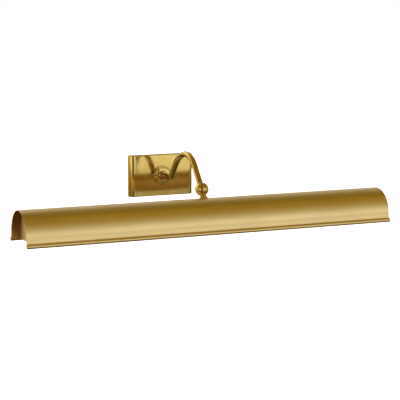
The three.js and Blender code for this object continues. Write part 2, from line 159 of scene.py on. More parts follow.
def prism(points, length, place=Matrix.Identity(4), edge=0.0):
    """A bar of one section: points are in place's XZ plane, and the bar runs both ways along its Y."""
    shape = drawn(points, Matrix.Translation((0, -length / 2, 0)))
    end = bmesh.ops.contextual_create(shape, geom=shape.edges[:])["faces"]
    grown = bmesh.ops.extrude_face_region(shape, geom=end)["geom"]
    bmesh.ops.translate(shape, verts=[g for g in grown if isinstance(g, bmesh.types.BMVert)],
                        vec=(0, length, 0))
    bmesh.ops.recalc_face_normals(shape, faces=shape.faces)
    if edge:
        rims = [e for e in shape.edges if abs(e.link_faces[0].normal.y) + abs(e.link_faces[1].normal.y) > 0.9]
        bmesh.ops.bevel(shape, geom=rims, offset=edge, segments=2, profile=0.5, affect="EDGES", material=-1)
    bmesh.ops.transform(shape, matrix=place, verts=shape.verts)
    return shape


def as_object(shape, name):
    """A new object that holds the bmesh, shaded smooth with its real edges kept sharp."""
    mesh = bpy.data.meshes.new(name)
    shape.to_mesh(mesh)
    shape.free()
    mesh.shade_smooth()
    mesh.set_sharp_from_angle(angle=math.radians(32))
    piece = bpy.data.objects.new(name, mesh)
    bpy.context.scene.collection.objects.link(piece)
    return piece


def cut(shape, *cutters, operation="DIFFERENCE"):
    """The bmesh with the cutters taken out of it, as a drill or a mill does."""
    body = as_object(shape, "blank")
    tools = [as_object(cutter, "tool") for cutter in cutters]
    for tool in tools:
        boolean = body.modifiers.new("cut", "BOOLEAN")
        boolean.operation, boolean.solver, boolean.object = operation, "EXACT", tool
    result = bmesh.new()
    result.from_object(body, bpy.context.evaluated_depsgraph_get())
    for used in [body] + tools:
        bpy.data.meshes.remove(used.data)
    bmesh.ops.dissolve_degenerate(result, edges=result.edges, dist=1e-7)
    return result


def drill(origin, direction, radius, length, steps=32):
    """A round cutter from origin along direction."""
    cutter = bmesh.new()
    bmesh.ops.create_cone(cutter, cap_ends=True, segments=steps, radius1=radius, radius2=radius, depth=length,
                          matrix=facing(origin, direction) @ Matrix.Translation((0, 0, length / 2)))
    return cutter


def finished(name, shape, material, slot, body, *nodes):
    """The bmesh as a piece of the light: its finish, the body it moves with and the CAD nodes it stands for."""
    piece = as_object(shape, name)
    piece.data.materials.append(material)
    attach(piece, body)
    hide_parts(*nodes)
    return piece


# Zinc plate: cool grey with faint cloudy patches where the passivation is thicker.
zinc, tree, shader = finish("zinc_plate", (0.58, 0.59, 0.6), 1, 0.36)
cloud = pattern(tree, 90, detail=5)
tinted(tree, shader, cloud, (0.48, 0.49, 0.5), (0.66, 0.66, 0.64))
polished(tree, shader, cloud, 0.3, 0.48)
raised(tree, shader, pattern(tree, 1400, detail=2), 0.15, 0.02 * MM)

low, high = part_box("wall_bracket")
sheet = 1.5 * MM
section = outline(
    (high.y, low.z, 2 * MM), (high.y, high.z, 2 * MM), (low.y, high.z), (low.y, high.z - sheet),
    (high.y - sheet, high.z - sheet, 0.5 * MM), (high.y - sheet, low.z + sheet, 0.5 * MM),
    (low.y, low.z + sheet), (low.y, low.z))
across = Matrix.Rotation(math.radians(90), 4, "Z")
bracket = prism([(-p.x, p.y) for p in section], high.x - low.x, across.inverted(), edge=0.2 * MM)
slot_width, slot_ends = 4.6 * MM, (15 * MM, 22 * MM)
openings = []
for side in (-1, 1):
    for z in slot_ends:
        openings.append(drill(Vector((0, 2 * MM, side * z)), -BACK, slot_width / 2, 6 * MM))
    middle = side * sum(slot_ends) / 2
    long = (slot_ends[1] - slot_ends[0]) / 2
    openings.append(prism([(-slot_width / 2, -long), (slot_width / 2, -long), (slot_width / 2, long),
                           (-slot_width / 2, long)], 8 * MM, Matrix.Translation((0, 0, middle))))
fixing_y = (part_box("canopy_screw_top")[0].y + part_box("canopy_screw_top")[1].y) / 2
openings.append(drill(Vector((0, fixing_y, -40 * MM)), UP, 1.8 * MM, 80 * MM))
ground_low, ground_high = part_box("ground_screw")
ground_x, ground_z = (ground_low.x + ground_high.x) / 2, (ground_low.z + ground_high.z) / 2
openings.append(drill(Vector((ground_x, 2 * MM, ground_z)), -BACK, 1.8 * MM, 6 * MM))
finished("bracket_strap", cut(bracket, *openings), zinc, "zinc_steel", "wall_side", "wall_bracket")

# ---- Ground screw ----------------------------------------------------------------------------------------------
# A small slotted steel screw, passivated green, in the strap beside the stem. The bare earth wire goes under it.


def screw(head, height, shank, length, place, slot_width=0.7 * MM, dome=0.35):
    """A slotted screw whose head stands on the plane Z = 0 of place, with its shank below."""
    fillet = dome * height
    corners = [(0, -length), (shank, -length), (shank, 0.2 * MM - length), (shank, 0),
               (head, 0, 0.15 * MM), (head, height, fillet), (0, height)]
    shape = turned(outline(*corners, closed=False), place, 32, closed=False)
    half = slot_width / 2
    groove = prism([(-half, 0.45 * height), (half, 0.45 * height), (half, 2 * height), (-half, 2 * height)],
                   3 * head, place)
    return cut(shape, groove)


green, tree, shader = finish("green_passivate", (0.06, 0.22, 0.09), 0.7, 0.4)
cloud = pattern(tree, 260, detail=4)
tinted(tree, shader, cloud, (0.04, 0.17, 0.06), (0.12, 0.3, 0.12))
polished(tree, shader, cloud, 0.3, 0.5)
seat = Vector((ground_x, -sheet, ground_z))
finished("earth_screw", screw(3 * MM, 1.3 * MM, 1.5 * MM, 1.2 * MM, facing(seat - BACK * 0.3 * MM, -BACK)),
         green, "ground_green", "wall_side", "ground_screw")

# ---- Backplate -------------------------------------------------------------------------------------------------
# A pan of polished, lacquered brass. Its side edges are bent round, its top and bottom are folded to a small radius,
# and it slides over the bracket and hides the wall box.

# Polished brass under clear lacquer: warm, with faint buffing haze and slow drifts of colour.
brass, tree, shader = finish("polished_brass", (0.61, 0.43, 0.13), 1, 0.12, coat_weight=0.25, coat_roughness=0.04)
haze = pattern(tree, 38, detail=4)
tinted(tree, shader, haze, (0.58, 0.4, 0.115), (0.65, 0.465, 0.155))
polished(tree, shader, pattern(tree, 160, detail=5), 0.09, 0.17)
raised(tree, shader, pattern(tree, 55, detail=2), 0.08, 0.05 * MM)

low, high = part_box("canopy")
plate_top = high.z
side_radius, fold_radius, plate_sheet = 9.8 * MM, 1.3 * MM, 1 * MM
pan = bmesh.new()
bmesh.ops.create_cube(pan, size=1)
bmesh.ops.scale(pan, vec=high - low, verts=pan.verts)
bmesh.ops.translate(pan, vec=(low + high) / 2, verts=pan.verts)
bmesh.ops.delete(pan, geom=[f for f in pan.faces if f.normal.y > 0.9], context="FACES")
corners = [e for e in pan.edges if all(v.co.y < low.y + 1e-6 for v in e.verts)
           and abs(e.verts[0].co.x - e.verts[1].co.x) < 1e-6]
bmesh.ops.bevel(pan, geom=corners, offset=side_radius, segments=14, profile=0.5, affect="EDGES", material=-1)
folds = [e for e in pan.edges if len(e.link_faces) == 2
         and max(abs(f.normal.z) for f in e.link_faces) > 0.9 > min(abs(f.normal.z) for f in e.link_faces)]
bmesh.ops.bevel(pan, geom=folds, offset=fold_radius, segments=4, profile=0.5, affect="EDGES", material=-1)
crease_x, crease_half, crease_depth = high.x - side_radius - 1 * MM, 0.6 * MM, 0.04 * MM
for x in [side * crease_x + step for side in (-1, 1) for step in (-crease_half, 0, crease_half)]:
    bmesh.ops.bisect_plane(pan, geom=pan.verts[:] + pan.edges[:] + pan.faces[:], dist=1e-7, plane_co=(x, 0, 0),
                           plane_no=RIGHT)
for vert in pan.verts:
    if vert.co.y < low.y + 1e-6 and abs(abs(vert.co.x) - crease_x) < 1e-6:
        vert.co.y += crease_depth
bmesh.ops.solidify(pan, geom=pan.faces[:], thickness=plate_sheet)
stem_hole = drill(Vector((0, low.y - MM, 0)), BACK, 5.15 * MM, 4 * MM, 48)
head_holes = drill(Vector((0, fixing_y, low.z - MM)), UP, 3.1 * MM, high.z - low.z + 2 * MM)
finished("backplate_pan", cut(pan, stem_hole, head_holes), brass, "polished_brass", "wall_side", "canopy")

# Its two screws have cheese heads that lie flush in the top and bottom folds.
for name, end in (("top", 1), ("bottom", -1)):
    seat = Vector((0, fixing_y, end * (plate_top - 1 * MM)))
    flush = screw(2.8 * MM, 0.9 * MM, 1.5 * MM, 6 * MM, facing(seat, end * UP), 0.8 * MM, 0.2)
    finished(f"backplate_screw_{name}", flush, brass, "polished_brass", "wall_side", f"canopy_screw_{name}")

# ---- Rosette ---------------------------------------------------------------------------------------------------
# A cup washer turned from brass bar: a thin rim that stands on the backplate, a nearly flat dome inside it, and a
# boss with a rounded nose that closes round the arm's stem.
low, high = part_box("rosette")
rosette_radius, rosette_height = (high.x - low.x) / 2, high.y - low.y
tube_radius = 4.75 * MM
bore = tube_radius + 0.15 * MM
rim_height, rim_width, hub = 1.7 * MM, 1.4 * MM, 7 * MM
dome_start, dome_foot, dome_rise = rosette_radius - rim_width - 0.3 * MM, 1.1 * MM, 1.3 * MM
dome_line = [Vector((hub + (dome_start - hub) * (1 - t / 12), dome_foot + dome_rise * (1 - (1 - t / 12) ** 2)))
             for t in range(12)]
cup = outline((bore, 0), (rosette_radius, 0, 0.2 * MM), (rosette_radius, rim_height, 0.7 * MM),
              (rosette_radius - rim_width, rim_height, 0.6 * MM), closed=False) + dome_line + outline(
    (hub + MM, dome_foot + dome_rise), (hub, dome_foot + dome_rise, 0.7 * MM),
    (hub, rosette_height, 1.4 * MM), (bore, rosette_height, 0.2 * MM), (bore, 0), closed=False)[:-1]
finished("rosette_cup", turned(cup, facing(Vector((0, high.y, 0)), -BACK), 72), brass, "polished_brass",
         "wall_side", "rosette")

# ---- Arm -------------------------------------------------------------------------------------------------------
# A length of brass tube bent to a swan neck on a former: straight out of the wall, a tight bend up, a long crown
# and a straight fall to the ball. It is soldered to the ball's fixed half, and its wall end is threaded.
hinge = frame["joints"][0]
ball_centre = Vector(hinge["pos_m"])
ball_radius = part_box("ball_arm_half")[0].x * -1
tube_wall = 1 * MM
stem_length, tight_radius, rise_angle, rise_length = 37 * MM, 13 * MM, 51.5, 22.5 * MM
crown_radius, crown_angle, shoulder_radius, fall_angle = 59.7 * MM, 7.2, 41.2 * MM, -50.4

stem_end = Vector((0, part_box("arm")[1].y, 0))
tube = bmesh.new()
bmesh.ops.create_circle(tube, cap_ends=False, segments=40, radius=tube_radius, matrix=facing(stem_end, -BACK))
tip = {"at": stem_end, "angle": 0.0, "geom": tube.verts[:] + tube.edges[:]}


def heading(angle):
    """The direction at that angle above level, pointing away from the wall."""
    return Vector((0, -math.cos(angle), math.sin(angle)))


def run_on(length, pieces=1):
    """Adds a straight length to the tube."""
    for step in range(pieces):
        edges = [g for g in tip["geom"] if isinstance(g, bmesh.types.BMEdge)]
        grown = bmesh.ops.extrude_edge_only(tube, edges=edges)["geom"]
        verts = [g for g in grown if isinstance(g, bmesh.types.BMVert)]
        ends = [g for g in grown if isinstance(g, bmesh.types.BMEdge) and all(v in verts for v in g.verts)]
        bmesh.ops.translate(tube, verts=verts, vec=heading(tip["angle"]) * length / pieces)
        tip["geom"] = verts + ends
    tip["at"] = tip["at"] + heading(tip["angle"]) * length


def bend_to(angle, radius, pieces):
    """Bends the tube round a former until it heads at that angle above level."""
    turn = math.radians(angle) - tip["angle"]
    side = math.copysign(1, turn)
    normal = Vector((0, math.sin(tip["angle"]), math.cos(tip["angle"])))
    centre = tip["at"] + normal * radius * side
    tip["geom"] = bmesh.ops.spin(
        tube, geom=tip["geom"], cent=centre, axis=-RIGHT, dvec=(0, 0, 0), angle=turn, steps=pieces,
        use_merge=False, use_normal_flip=False, use_duplicate=False)["geom_last"]
    tip["angle"] += turn
    tip["at"] = centre - Vector((0, math.sin(tip["angle"]), math.cos(tip["angle"]))) * radius * side


run_on(stem_length, 2)
bend_to(rise_angle, tight_radius, 20)
run_on(rise_length)
bend_to(crown_angle, crown_radius, 24)
bend_to(fall_angle, shoulder_radius, 30)
solder = math.sqrt(ball_radius ** 2 - tube_radius ** 2)
run_on((ball_centre - tip["at"]).length - solder - 0.05 * MM, 3)
bmesh.ops.recalc_face_normals(tube, faces=tube.faces)
bmesh.ops.solidify(tube, geom=tube.faces[:], thickness=tube_wall)
finished("arm_tube", tube, brass, "polished_brass", "wall_side", "arm")

# ---- Stem nut and lock washer ----------------------------------------------------------------------------------
# Behind the backplate a zinc-plated toothed washer and a thin brass hexagon nut pull the stem and rosette tight.


def washer(outer, inner, thickness, place, edge=0.12 * MM):
    """A flat washer that stands on the plane Z = 0 of place."""
    ring = outline((inner, 0, edge), (outer, 0, edge), (outer, thickness, edge), (inner, thickness, edge), steps=2)
    return turned(ring, place, 40)


def toothed_washer(outer, inner, thickness, place, teeth=12):
    """A lock washer with slits cut in from its rim."""
    slits = []
    for tooth in range(teeth):
        turn = Matrix.Rotation(math.tau * tooth / teeth, 4, "Z")
        half = 0.45 * MM
        slits.append(prism([(-half, -MM), (half, -MM), (half, 2 * MM), (-half, 2 * MM)], outer,
                           place @ turn @ Matrix.Translation((0, outer * 0.5 + inner * 0.62, 0))))
    return cut(washer(outer, inner, thickness, place), *slits)


def hex_nut(radius, bore, thickness, place):
    """A hexagon nut with chamfered corners, standing on the plane Z = 0 of place."""
    nut = bmesh.new()
    bmesh.ops.create_cone(nut, cap_ends=True, segments=6, radius1=radius, radius2=radius, depth=thickness,
                          matrix=place @ Matrix.Translation((0, 0, thickness / 2)))
    chamfer = turned(outline((0, 0), (radius - 1 * MM, 0), (radius + 0.2 * MM, 0.6 * MM),
                             (radius + 0.2 * MM, thickness - 0.6 * MM), (radius - 1 * MM, thickness),
                             (0, thickness), closed=False), place, closed=False)
    rounded = cut(nut, chamfer, operation="INTERSECT")
    hole = turned(outline((0, -MM), (bore + 1.4 * MM, -MM), (bore, 0.4 * MM), (bore, thickness - 0.4 * MM),
                          (bore + 1.4 * MM, thickness + MM), (0, thickness + MM), closed=False), place,
                  closed=False)
    return cut(rounded, hole)


low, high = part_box("stem_lock_washer")
finished("stem_toothed_washer",
         toothed_washer(8 * MM, 5.1 * MM, high.y - low.y, facing(Vector((0, low.y, 0)), BACK)),
         zinc, "zinc_steel", "wall_side", "stem_lock_washer")
low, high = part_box("stem_nut")
finished("stem_hex_nut",
         hex_nut((high.z - low.z) / 2, tube_radius + 0.15 * MM, high.y - low.y, facing(Vector((0, low.y, 0)), BACK)),
         brass, "polished_brass", "wall_side", "stem_nut")

# ---- Ball swivel -----------------------------------------------------------------------------------------------
# Two hollow half-balls of brass, flat face to flat face. The left half is soldered to the arm. The right half is
# screwed to it through the middle and carries the neck, so the shade tilts with it.
front_wire = sum(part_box("front_edge_wire"), Vector()) / 2
back_wire = sum(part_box("back_edge_wire"), Vector()) / 2
leg_length = 10.5 * MM
arch_centre = Vector((0, (front_wire.y + back_wire.y) / 2, front_wire.z + leg_length))
arch_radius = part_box("shade")[1].z - arch_centre.z
shade_sheet = 1 * MM
to_ball = ball_centre - arch_centre
neck_line = to_ball.normalized()
neck_frame = Matrix.Translation(arch_centre) @ Matrix.Rotation(-math.atan2(to_ball.y, to_ball.z), 4, "X")
ball_shell, ball_gap, seam_edge = 2.4 * MM, 0.12 * MM, 0.25 * MM


def half_ball(side):
    """A hollow half-ball on the +X side or the -X side, with its hub round the pivot."""
    shape = bmesh.new()
    bmesh.ops.create_uvsphere(shape, u_segments=64, v_segments=40, radius=ball_radius,
                              matrix=Matrix.Translation(ball_centre) @ Matrix.Rotation(math.radians(90), 4, "Y"))
    split = ball_centre + RIGHT * side * ball_gap
    bmesh.ops.bisect_plane(shape, geom=shape.verts[:] + shape.edges[:] + shape.faces[:], dist=1e-7, plane_co=split,
                           plane_no=-RIGHT * side, clear_outer=True)
    bmesh.ops.solidify(shape, geom=shape.faces[:], thickness=ball_shell)
    rims = [e for e in shape.edges if all(abs(v.co.x - split.x) < 1e-6 for v in e.verts)
            and all((v.co - ball_centre).length > ball_radius - 0.3 * MM for v in e.verts)]
    bmesh.ops.bevel(shape, geom=rims, offset=seam_edge, segments=3, profile=0.5, affect="EDGES", material=-1)
    hub = turned(outline((2.3 * MM, 0.6 * MM), (4 * MM, 0.6 * MM), (4 * MM, 9 * MM), (2.3 * MM, 9 * MM)),
                 facing(ball_centre, RIGHT * side), 40)
    return cut(shape, hub, operation="UNION")


finished("ball_left_shell", half_ball(-1), brass, "polished_brass", "wall_side", "ball_arm_half")

# The right half: recessed for the pivot screw's head, with the neck brazed on below.
neck_radius, stud_radius = 5.8 * MM, 4 * MM
seat_distance = to_ball.length - arch_radius
washer_height = 2.2 * MM
neck_reach = seat_distance - washer_height
neck_profile = outline(
    (2.2 * MM, 7.4 * MM), (4.9 * MM, 7.4 * MM), (4.9 * MM, 10.6 * MM, 0.8 * MM), (neck_radius, 11.8 * MM, 0.7 * MM),
    (neck_radius, neck_reach, 0.4 * MM), (stud_radius, neck_reach), (stud_radius, seat_distance + 7.8 * MM, 0.4 * MM),
    (2.2 * MM, seat_distance + 7.8 * MM), steps=4)
neck = turned(neck_profile, facing(ball_centre, -neck_line), 48)
left_space = bmesh.new()
bmesh.ops.create_cube(left_space, size=1)
bmesh.ops.scale(left_space, vec=Vector((20, 2 * (ball_radius / MM + 0.3), 2 * (ball_radius / MM + 0.3))) * MM,
                verts=left_space.verts)
bmesh.ops.translate(left_space, vec=ball_centre - RIGHT * (10 * MM - ball_gap), verts=left_space.verts)
left_ball = bmesh.new()
bmesh.ops.create_uvsphere(left_ball, u_segments=48, v_segments=32, radius=ball_radius + 0.2 * MM,
                          matrix=Matrix.Translation(ball_centre))
neck = cut(neck, cut(left_space, left_ball, operation="INTERSECT"))
screw_seat = 8.4 * MM
recess = drill(ball_centre + RIGHT * (screw_seat - 1.2 * MM), RIGHT, 4.1 * MM, 6 * MM, 48)
right_half = cut(cut(half_ball(1), neck, operation="UNION"), recess)
finished("ball_right_shell", right_half, brass, "polished_brass", "shade_side", "ball_shade_half")

# Between the halves a fibre friction washer, and under the screw's head a spring washer, set how stiffly it tilts.
pivot = facing(ball_centre, RIGHT)
finished("pivot_screw",
         screw(3.75 * MM, 1.2 * MM, 2 * MM, 15.9 * MM, pivot @ Matrix.Translation((0, 0, screw_seat)), 0.9 * MM),
         brass, "polished_brass", "wall_side", "swivel_screw")
fibre, tree, shader = finish("fibre", (0.55, 0.4, 0.26), 0, 0.7)
cloud = pattern(tree, 700, detail=4)
tinted(tree, shader, cloud, (0.45, 0.31, 0.2), (0.62, 0.47, 0.32))
raised(tree, shader, cloud, 0.3, 0.05 * MM)
finished("pivot_fibre_washer", washer(3.9 * MM, 2.4 * MM, 0.9 * MM, pivot @ Matrix.Translation((0, 0, -0.45 * MM))),
         fibre, "lead_sleeve", "wall_side", "swivel_friction_washer")
finished("pivot_spring_washer", washer(3.8 * MM, 2.4 * MM, 0.6 * MM, pivot @ Matrix.Translation((0, 0, 7.5 * MM))),
         zinc, "zinc_steel", "wall_side", "swivel_spring_washer")

# ---- Neck fixings ----------------------------------------------------------------------------------------------
# A turned saddle washer, hollowed underneath to sit on the shade's curve, and inside the shade a toothed washer and
# a brass nut on the threaded end of the neck.
saddle = turned(
    outline((4.15 * MM, 0), (7 * MM, 0), (7 * MM, 2.6 * MM, 0.6 * MM), (6.2 * MM, 3.2 * MM, 0.5 * MM),
            (4.15 * MM, 3.2 * MM), steps=4), Matrix.Identity(4), 64)
saddle_bottom = arch_radius + 0.05 * MM
for vert in saddle.verts:
    curve = math.sqrt(saddle_bottom ** 2 - vert.co.y ** 2)
    vert.co.z = curve + (arch_radius + washer_height - 0.05 * MM - curve) * vert.co.z / (3.2 * MM)
bmesh.ops.transform(saddle, matrix=neck_frame, verts=saddle.verts)
finished("neck_saddle", saddle, brass, "polished_brass", "shade_side", "neck_washer")

strap_width, strap_thickness = 16 * MM, 1.2 * MM
strap_top = math.sqrt((arch_radius - shade_sheet) ** 2 - (strap_width / 2) ** 2) - 0.3 * MM
strap_bottom = strap_top - strap_thickness
under_strap = neck_frame @ Matrix.Translation((0, 0, strap_bottom - 1.1 * MM))
finished("neck_toothed_washer", toothed_washer(6.8 * MM, 4.3 * MM, 0.8 * MM, under_strap),
         zinc, "zinc_steel", "shade_side", "neck_lock_washer")
finished("neck_hex_nut",
         hex_nut(7.2 * MM, 4.15 * MM, 3 * MM, neck_frame @ Matrix.Translation((0, 0, strap_bottom - 4.4 * MM))),
         brass, "polished_brass", "shade_side", "neck_nut")

# ---- Shade -----------------------------------------------------------------------------------------------------
# One brass sheet rolled to an arch with short legs that bow out very slightly. Each lower edge is curled outwards
# round a steel wire, so a bead runs the whole length. It is linished lengthwise to a fine satin and lacquered.
satin, tree, shader = finish("satin_brass", (0.78, 0.58, 0.3), 1, 0.34, coat_weight=0.12, coat_roughness=0.18)
grain = pattern(tree, 1, (14, 1500, 1500), detail=3)
tinted(tree, shader, pattern(tree, 9, (1, 3, 3), detail=4), (0.75, 0.55, 0.28), (0.81, 0.61, 0.32))
polished(tree, shader, grain, 0.29, 0.4, (0.3, 0.7))
raised(tree, shader, grain, 0.12, 0.02 * MM)

# The inside of the sheet is multiplied to a dark brown, a painted shade for the shade that falls inside the arch: all
# that lies nearer the arch's line than mid-sheet.
reach = tree.nodes.new("ShaderNodeTexCoord").outputs["Object"]
upper_half, section_only = (0, -1, 0), (0, 1, 1)
for operation, value in (("SUBTRACT", arch_centre), ("MAXIMUM", upper_half), ("MULTIPLY", section_only),
                         ("LENGTH", None)):
    node = tree.nodes.new("ShaderNodeVectorMath")
    node.operation = operation
    if value is not None:
        node.inputs[1].default_value = value
    tree.links.new(reach, node.inputs[0])
    reach = node.outputs["Value" if operation == "LENGTH" else "Vector"]
within = tree.nodes.new("ShaderNodeMath")
within.operation = "LESS_THAN"
within.inputs[1].default_value = arch_radius - shade_sheet / 2
# Painted shade: a dark brown multiplied over the brass colour on the inside surfaces only.
painted_inner_shade = tree.nodes.new("ShaderNodeMix")
painted_inner_shade.data_type, painted_inner_shade.blend_type = "RGBA", "MULTIPLY"
painted_inner_shade.inputs["B"].default_value = (0.5, 0.33, 0.2, 1)
tree.links.new(reach, within.inputs[0])
tree.links.new(within.outputs["Value"], painted_inner_shade.inputs["Factor"])
tree.links.new(shader.inputs["Base Color"].links[0].from_socket, painted_inner_shade.inputs["A"])
tree.links.new(painted_inner_shade.outputs["Result"], shader.inputs["Base Color"])

low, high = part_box("shade")
bead_radius = 3.2 * MM
curl_radius = bead_radius - shade_sheet / 2
curl_lap = math.radians(20)
line_radius = arch_radius - shade_sheet / 2
shell = bmesh.new()
crown = shell.verts.new((low.x, arch_centre.y, arch_centre.z + line_radius))


def sweep_point(start, centre, angle, pieces):
    """Carries a point of the section round centre, seen along +X, and returns where it ends."""
    swept = bmesh.ops.spin(shell, geom=[start], cent=centre, axis=RIGHT, dvec=(0, 0, 0), angle=angle, steps=pieces,
                           use_merge=False, use_normal_flip=False, use_duplicate=False)["geom_last"]
    return [g for g in swept if isinstance(g, bmesh.types.BMVert)][0]


spring = sweep_point(crown, arch_centre, math.radians(90), 48)
foot, leg_steps, leg_bow = spring, 8, 0.3 * MM
for step in range(1, leg_steps + 1):
    down = step / leg_steps
    foot = bmesh.ops.extrude_vert_indiv(shell, verts=[foot])["verts"][0]
    foot.co = spring.co - UP * leg_length * down - BACK * leg_bow * 6.75 * down ** 2 * (1 - down)
curl_centre = foot.co - BACK * curl_radius
sweep_point(foot, curl_centre, -(math.tau - 2 * curl_lap), 36)
bmesh.ops.mirror(shell, geom=shell.verts[:] + shell.edges[:], axis="Y", merge_dist=1e-7,
                 matrix=Matrix.Translation(-arch_centre))
ends = (0, 1.2 * MM, 4 * MM, 12 * MM, 40 * MM, 120 * MM, 200 * MM)
stations = sorted([low.x + e for e in ends] + [high.x - e for e in ends] + [-30 * MM, -9 * MM, 9 * MM, 30 * MM])
section_edges = shell.edges[:]
for before, after in zip(stations, stations[1:]):
    grown = bmesh.ops.extrude_edge_only(shell, edges=section_edges)["geom"]
    verts = [g for g in grown if isinstance(g, bmesh.types.BMVert)]
    held = set(verts)
    section_edges = [g for g in grown if isinstance(g, bmesh.types.BMEdge) and set(g.verts) <= held]
    bmesh.ops.translate(shell, verts=verts, vec=RIGHT * (after - before))
bmesh.ops.remove_doubles(shell, verts=shell.verts, dist=1e-7)
bmesh.ops.recalc_face_normals(shell, faces=shell.faces)
top_face = max(shell.faces, key=lambda f: f.calc_center_median().z)
if top_face.normal.z < 0:
    bmesh.ops.reverse_faces(shell, faces=shell.faces[:])
outside = {v: v.normal * shade_sheet / 2 for v in shell.verts}
for vert, step in outside.items():
    vert.co += step
bmesh.ops.solidify(shell, geom=shell.faces[:], thickness=shade_sheet)
stud_hole = drill(arch_centre + neck_line * (arch_radius - 4 * MM), neck_line, stud_radius + 0.3 * MM, 8 * MM)
finished("shade_shell", cut(shell, stud_hole), satin, "satin_brass", "shade_side", "shade")

# The edge wires fill the curls, and their cropped ends show at each end of the beads.
for name, wire in (("front", front_wire), ("back", back_wire)):
    wire_low, wire_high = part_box(f"{name}_edge_wire")
    rod = turned(outline((0, 0), (1.95 * MM, 0, 0.5 * MM), (1.95 * MM, wire_high.x - wire_low.x, 0.5 * MM),
                         (0, wire_high.x - wire_low.x), closed=False),
                 facing(Vector((wire_low.x, wire.y, wire.z)), RIGHT), 24, closed=False)
    finished(f"{name}_bead_wire", rod, zinc, "zinc_steel", "shade_side", f"{name}_edge_wire")

# ---- End caps --------------------------------------------------------------------------------------------------
# Flanged plates pressed from the same brass sheet. They close the arch a little way in from each end, held by their
# flanges, and are left with a plain fine-sanded face.
cap_brass, tree, shader = finish("sanded_brass", (0.7, 0.53, 0.29), 1, 0.46)
sanding = pattern(tree, 900, (0.4, 1, 1), detail=5)
tinted(tree, shader, pattern(tree, 40, detail=4), (0.82, 0.63, 0.36), (0.9, 0.7, 0.41))
polished(tree, shader, sanding, 0.4, 0.55)
raised(tree, shader, sanding, 0.12, 0.03 * MM)
cap_sheet = 1 * MM
for name, side in (("left", -1), ("right", 1)):
    low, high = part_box(f"end_cap_{name}")
    cap_radius = arch_radius - shade_sheet - 0.15 * MM
    face_x, rim_x = (low.x, high.x) if side < 0 else (high.x, low.x)
    cap = bmesh.new()
    foot = cap.verts.new((face_x, arch_centre.y + cap_radius, low.z))
    shoulder = bmesh.ops.extrude_vert_indiv(cap, verts=[foot])["verts"]
    bmesh.ops.translate(cap, verts=shoulder, vec=UP * (arch_centre.z - low.z))
    bmesh.ops.spin(cap, geom=shoulder, cent=arch_centre, axis=RIGHT, dvec=(0, 0, 0), angle=math.pi, steps=64,
                   use_merge=False, use_normal_flip=False, use_duplicate=False)
    cap.verts.ensure_lookup_table()
    far = [v for v in cap.verts if len(v.link_edges) == 1 and v is not foot]
    grown = bmesh.ops.extrude_vert_indiv(cap, verts=far)["verts"]
    bmesh.ops.translate(cap, verts=grown, vec=-UP * (arch_centre.z - low.z))
    rim = cap.edges[:]
    closing = cap.edges.new((foot, grown[0]))
    bmesh.ops.contextual_create(cap, geom=rim + [closing])
    flange = bmesh.ops.extrude_edge_only(cap, edges=rim)["geom"]
    bmesh.ops.translate(cap, verts=[g for g in flange if isinstance(g, bmesh.types.BMVert)],
                        vec=RIGHT * (rim_x - face_x))
    bmesh.ops.recalc_face_normals(cap, faces=cap.faces)
    plate = max(cap.faces, key=lambda f: len(f.verts))
    if plate.normal.x * side < 0:
        bmesh.ops.reverse_faces(cap, faces=cap.faces[:])
    folded = [e for e in rim if len(e.link_faces) == 2]
    bmesh.ops.bevel(cap, geom=folded, offset=1.3 * MM, segments=4, profile=0.5, affect="EDGES", material=-1)
    bmesh.ops.solidify(cap, geom=cap.faces[:], thickness=cap_sheet)
    finished(f"{name}_end_plate", cap, cap_brass, "cap_brass", "shade_side", f"end_cap_{name}")

# ---- Socket strap ----------------------------------------------------------------------------------------------
# A flat strip of zinc-plated steel under the crown, clamped by the neck nut. The socket brackets are riveted to it.
low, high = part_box("socket_strap")
strap_length = high.x - low.x
half = strap_width / 2
strap = prism(outline((-half, strap_bottom), (half, strap_bottom), (half, strap_top), (-half, strap_top)),
              strap_length, neck_frame @ Matrix.Rotation(math.radians(90), 4, "Z"))
corners = [e for e in strap.edges if abs(e.verts[0].co.x - e.verts[1].co.x) < 1e-6
           and abs(e.calc_length() - strap_thickness) < 1e-6]
bmesh.ops.bevel(strap, geom=corners, offset=2.5 * MM, segments=5, profile=0.5, affect="EDGES", material=-1)
lamp_places = [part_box(f"socket_bracket_{number}")[0].x for number in (1, 2, 3)]
rivet_x = 7 * MM
holes = [drill(neck_frame @ Vector((x + rivet_x, 0, strap_bottom - MM)), neck_line, 1.8 * MM, 4 * MM, 24)
         for x in lamp_places]
holes.append(drill(neck_frame @ Vector((0, 0, strap_bottom - MM)), neck_line, stud_radius + 0.3 * MM, 4 * MM))
finished("socket_rail", cut(strap, *holes), zinc, "zinc_steel", "shade_side", "socket_strap")

# ---- Lamp sets -------------------------------------------------------------------------------------------------
# Three alike: an L of plated steel riveted to the strap, a black moulded lampholder screwed to it, and a slim tubular
# lamp with a brass screw cap and an opal glass.
phenolic, tree, shader = finish("black_phenolic", (0.022, 0.02, 0.018), 0, 0.42)
flow = pattern(tree, 220, detail=6)
tinted(tree, shader, flow, (0.016, 0.015, 0.014), (0.034, 0.03, 0.026))
polished(tree, shader, flow, 0.36, 0.52)
raised(tree, shader, pattern(tree, 1800, detail=2), 0.12, 0.03 * MM)

opal, tree, shader = finish("opal_glass", (0.73, 0.71, 0.65), 0, 0.22, coat_weight=0.35, coat_roughness=0.06,
                            subsurface_weight=0.35, subsurface_scale=3 * MM)
milk = pattern(tree, 45, (0.5, 1, 1), detail=3)
tinted(tree, shader, milk, (0.7, 0.68, 0.61), (0.76, 0.74, 0.68))
polished(tree, shader, milk, 0.18, 0.28)

